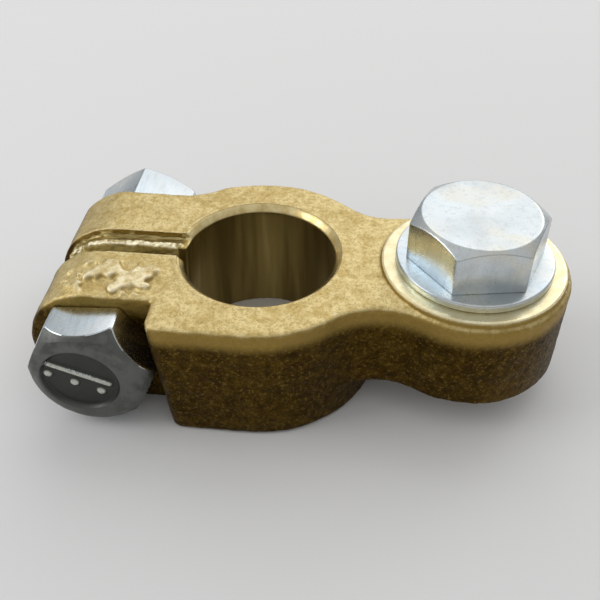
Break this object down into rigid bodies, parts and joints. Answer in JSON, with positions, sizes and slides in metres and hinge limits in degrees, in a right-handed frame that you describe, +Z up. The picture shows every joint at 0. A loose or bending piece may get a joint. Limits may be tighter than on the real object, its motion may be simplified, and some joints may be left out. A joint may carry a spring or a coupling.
{
  "type": "battery terminal clamp",
  "caption": "Cast brass clamp for a tapered battery post, pinched by a bolt and nut through split ears, with a lug and bolt for a ring terminal.",
  "frame": {"origin": "axis of the post bore at the underside of the ring", "axes": "+Z up along the post bore, +X from the post towards the lug, +Y towards the clamp nut"},
  "size_m": [0.0584, 0.033, 0.0221],
  "materials": {
    "brass": "as cast, grainy, with machined bore and seat",
    "zinc_steel": "bright zinc plate"
  },
  "bodies": {
    "casting": {"clamp_body": "brass"},
    "clamp_bolt": {"clamp_bolt": "zinc_steel"},
    "clamp_nut": {"clamp_nut": "zinc_steel"},
    "lug_washer": {"lug_washer": "zinc_steel"},
    "lug_bolt": {"lug_bolt": "zinc_steel"}
  },
  "joints": [
    {"name": "clamp_bolt_turn", "type": "hinge", "parent": "casting", "child": "clamp_bolt", "pos_m": [-0.0168, -0.0092, 0.0073], "axis": [0, -1, 0], "range_deg": [0, 1080]},
    {"name": "clamp_nut_travel", "type": "slide", "parent": "casting", "child": "clamp_nut", "axis": [0, 1, 0], "range_m": [0, 0.00375]},
    {"name": "lug_washer_lift", "type": "slide", "parent": "casting", "child": "lug_washer", "axis": [0, 0, 1], "range_m": [0, 0.0075]},
    {"name": "lug_bolt_turn", "type": "hinge", "parent": "lug_washer", "child": "lug_bolt", "pos_m": [0.0234, 0, 0.0168], "axis": [0, 0, 1], "range_deg": [0, 2160]}
  ],
  "couplings": [
    {"joint": "clamp_nut_travel", "follows": "clamp_bolt_turn", "m_per_rad": 0.00019894},
    {"joint": "lug_washer_lift", "follows": "lug_bolt_turn", "m_per_rad": 0.00019894}
  ]
}
